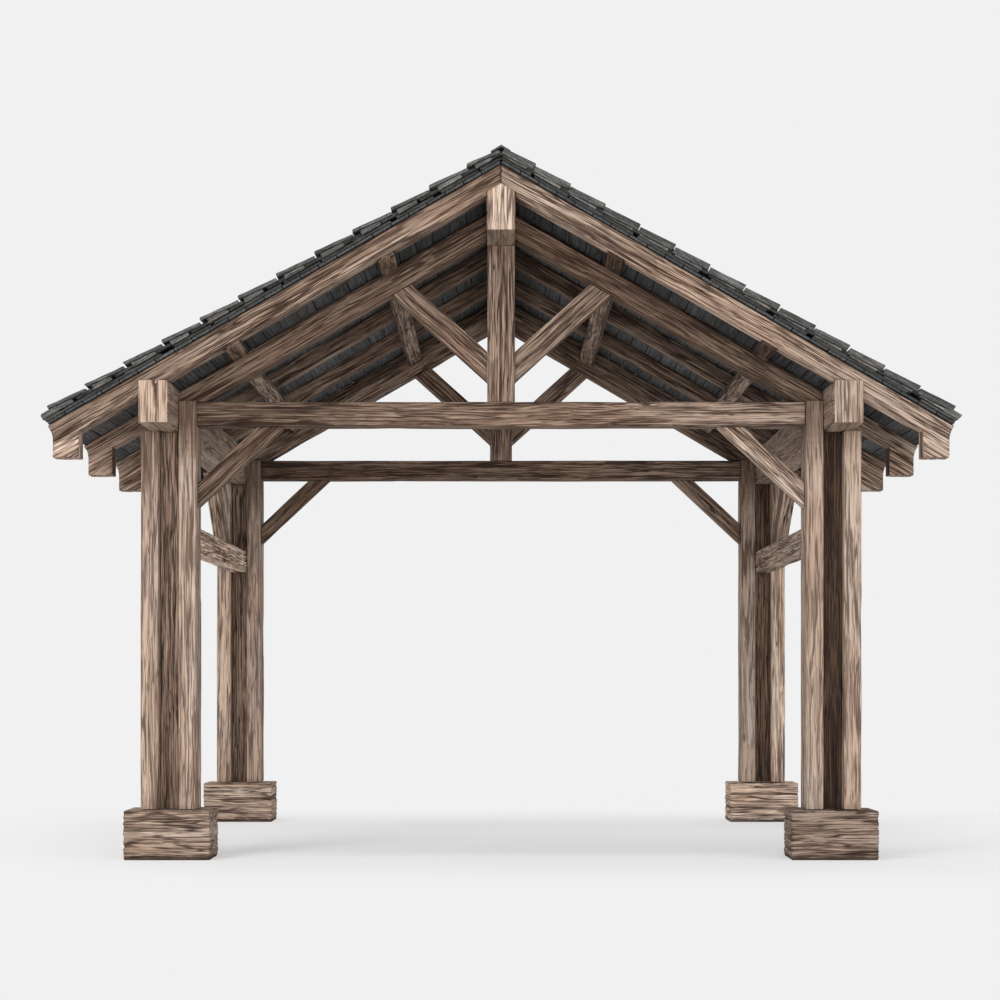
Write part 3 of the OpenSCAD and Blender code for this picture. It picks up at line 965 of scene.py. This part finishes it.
# The tone arguments here paint light and shade: shade close under the eaves on the inner posts, a darker
# lower part on the middle posts, a lighter lower part on the rafters, and light on the plate and ridge ends.
for side in ("left", "right"):
    for end in ("front", "back"):
        corner = end + "_" + side
        timber("base_block_" + corner, BLOCK_OAK, "block_oak", relief=strata_relief, worn=BLOCK_WEAR,
               edge=BLOCK_WEAR, net=BLOCK_NET, open_ends=True, fixed_ways=STRATA_WAYS, shape=ground_edge)
        timber("outer_post_" + corner, OAK, "oak")
        timber("inner_post_" + corner, OAK, "oak", painted_eaves_shade=0.54)
        timber("middle_post_" + corner, DARK_OAK, "dark_oak", painted_low_light=0.7)
    timber("eaves_plate_" + side, OAK, "oak", open_ends=True, end_ways=UPRIGHT_ENDS, painted_end_light=1.35,
           shape=split_end if side == "left" else None)
    timber("side_rail_" + side, DARK_OAK, "dark_oak")
    timber("side_braces_" + side, DARK_OAK, "dark_oak")
    timber("purlins_" + side, DARK_OAK, "dark_oak", shape=shade_stubs)
    timber("verge_rafters_" + side, DARK_OAK, "dark_oak", open_ends=True, end_ways=SLOPED_ENDS,
           painted_low_light=VERGE_PAINTED_LOW_LIGHT[side], shape=paint_light_on_low_edge)
    timber("common_rafters_" + side, DARK_OAK, "dark_oak", open_ends=True, end_ways=SLOPED_ENDS,
           painted_low_light=2.0)
    roof_boards(side)
    slates(side)
for end in ("front", "back"):
    for name in ("tie_beam_", "king_post_", "king_struts_", "principal_rafters_", "knee_braces_"):
        timber(name + end, DARK_OAK, "dark_oak")
timber("ridge_beam", OAK, "oak", open_ends=True, end_ways=UPRIGHT_ENDS, painted_end_light=2.2)
ridge_caps()


# ---------------------------------------------------------------- setting

# Where the floor fades into the backdrop: each is where fading starts and where it is complete
FADE_BEHIND = (-0.6, 2.9)
FADE_FRONT = (-1.4, -3.2)
FADE_BESIDE = (1.2, 5.2)
# Where the shadow between the front blocks turns paler, behind its middle and in front of it
PALER_BEHIND = (-1.1, 0.4)
PALER_FRONT = (-1.15, -1.7)


def make_floor():
    """A pale floor that keeps a soft shadow near the gazebo and fades into the backdrop."""
    bm = bmesh.new()
    bmesh.ops.create_grid(bm, x_segments=1, y_segments=1, size=FLOOR_HALF)
    floor = bpy.data.objects.new("floor", finished_mesh(bm, "floor"))
    bpy.context.scene.collection.objects.link(floor)
    material, tree, surface = new_material("pale_floor")
    surface.inputs["Base Color"].default_value = (0.85, 0.85, 0.85, 1)
    surface.inputs["Roughness"].default_value = 1.0
    surface.inputs["Specular IOR Level"].default_value = 0.0
    floor.data.materials.append(material)
    place = put(tree, "SeparateXYZ", {0: put(tree, "TexCoord").outputs["Object"]}).outputs
    behind, front = (spread(tree, place["Y"], *reach) for reach in (FADE_BEHIND, FADE_FRONT))
    along = calc(tree, "MAXIMUM", behind, front)
    beside = spread(tree, calc(tree, "ABSOLUTE", place["X"]), *FADE_BESIDE)
    behind, front = (spread(tree, place["Y"], *reach) for reach in (PALER_BEHIND, PALER_FRONT))
    paler = calc(tree, "MAXIMUM", behind, front)
    glow = calc(tree, "MULTIPLY_ADD", paler, FLOOR_GLOW - SHADOW_GLOW, SHADOW_GLOW)
    faded = calc(tree, "MAXIMUM", calc(tree, "MAXIMUM", along, beside), glow)
    seen = calc(tree, "MULTIPLY", faded, put(tree, "LightPath").outputs["Is Camera Ray"])
    glow = put(tree, "Emission", {"Color": (1, 1, 1, 1), "Strength": PALE}).outputs[0]
    mixed = put(tree, "MixShader", {0: seen, 1: surface.outputs[0], 2: glow}).outputs[0]
    tree.links.new(mixed, tree.nodes["Material Output"].inputs["Surface"])


def make_world():
    """Even pale light, and a white backdrop for what the camera sees directly or in gloss."""
    world = bpy.data.worlds.new("studio")
    bpy.context.scene.world = world
    world.use_nodes = True
    tree = world.node_tree
    background = tree.nodes["Background"]
    path = put(tree, "LightPath").outputs
    background.inputs["Color"].default_value = (1, 1, 1, 1)
    mirrored = calc(tree, "MAXIMUM", path["Is Glossy Ray"], path["Is Transmission Ray"])
    seen = calc(tree, "MAXIMUM", path["Is Camera Ray"], mirrored)
    strength = calc(tree, "MULTIPLY_ADD", seen, PALE - SKY_LIGHT, SKY_LIGHT)
    tree.links.new(strength, background.inputs["Strength"])


make_camera()
make_floor()
make_world()
soft_lamp("key_lamp", place=(-9, -10, 12), target=(0, 0, 2), size=6.0, power=650)
soft_lamp("fill_lamp", place=(2, -24, 2.2), target=(0, 0, 2), size=8.0, power=2400)
bpy.context.scene.view_settings.view_transform = "Standard"
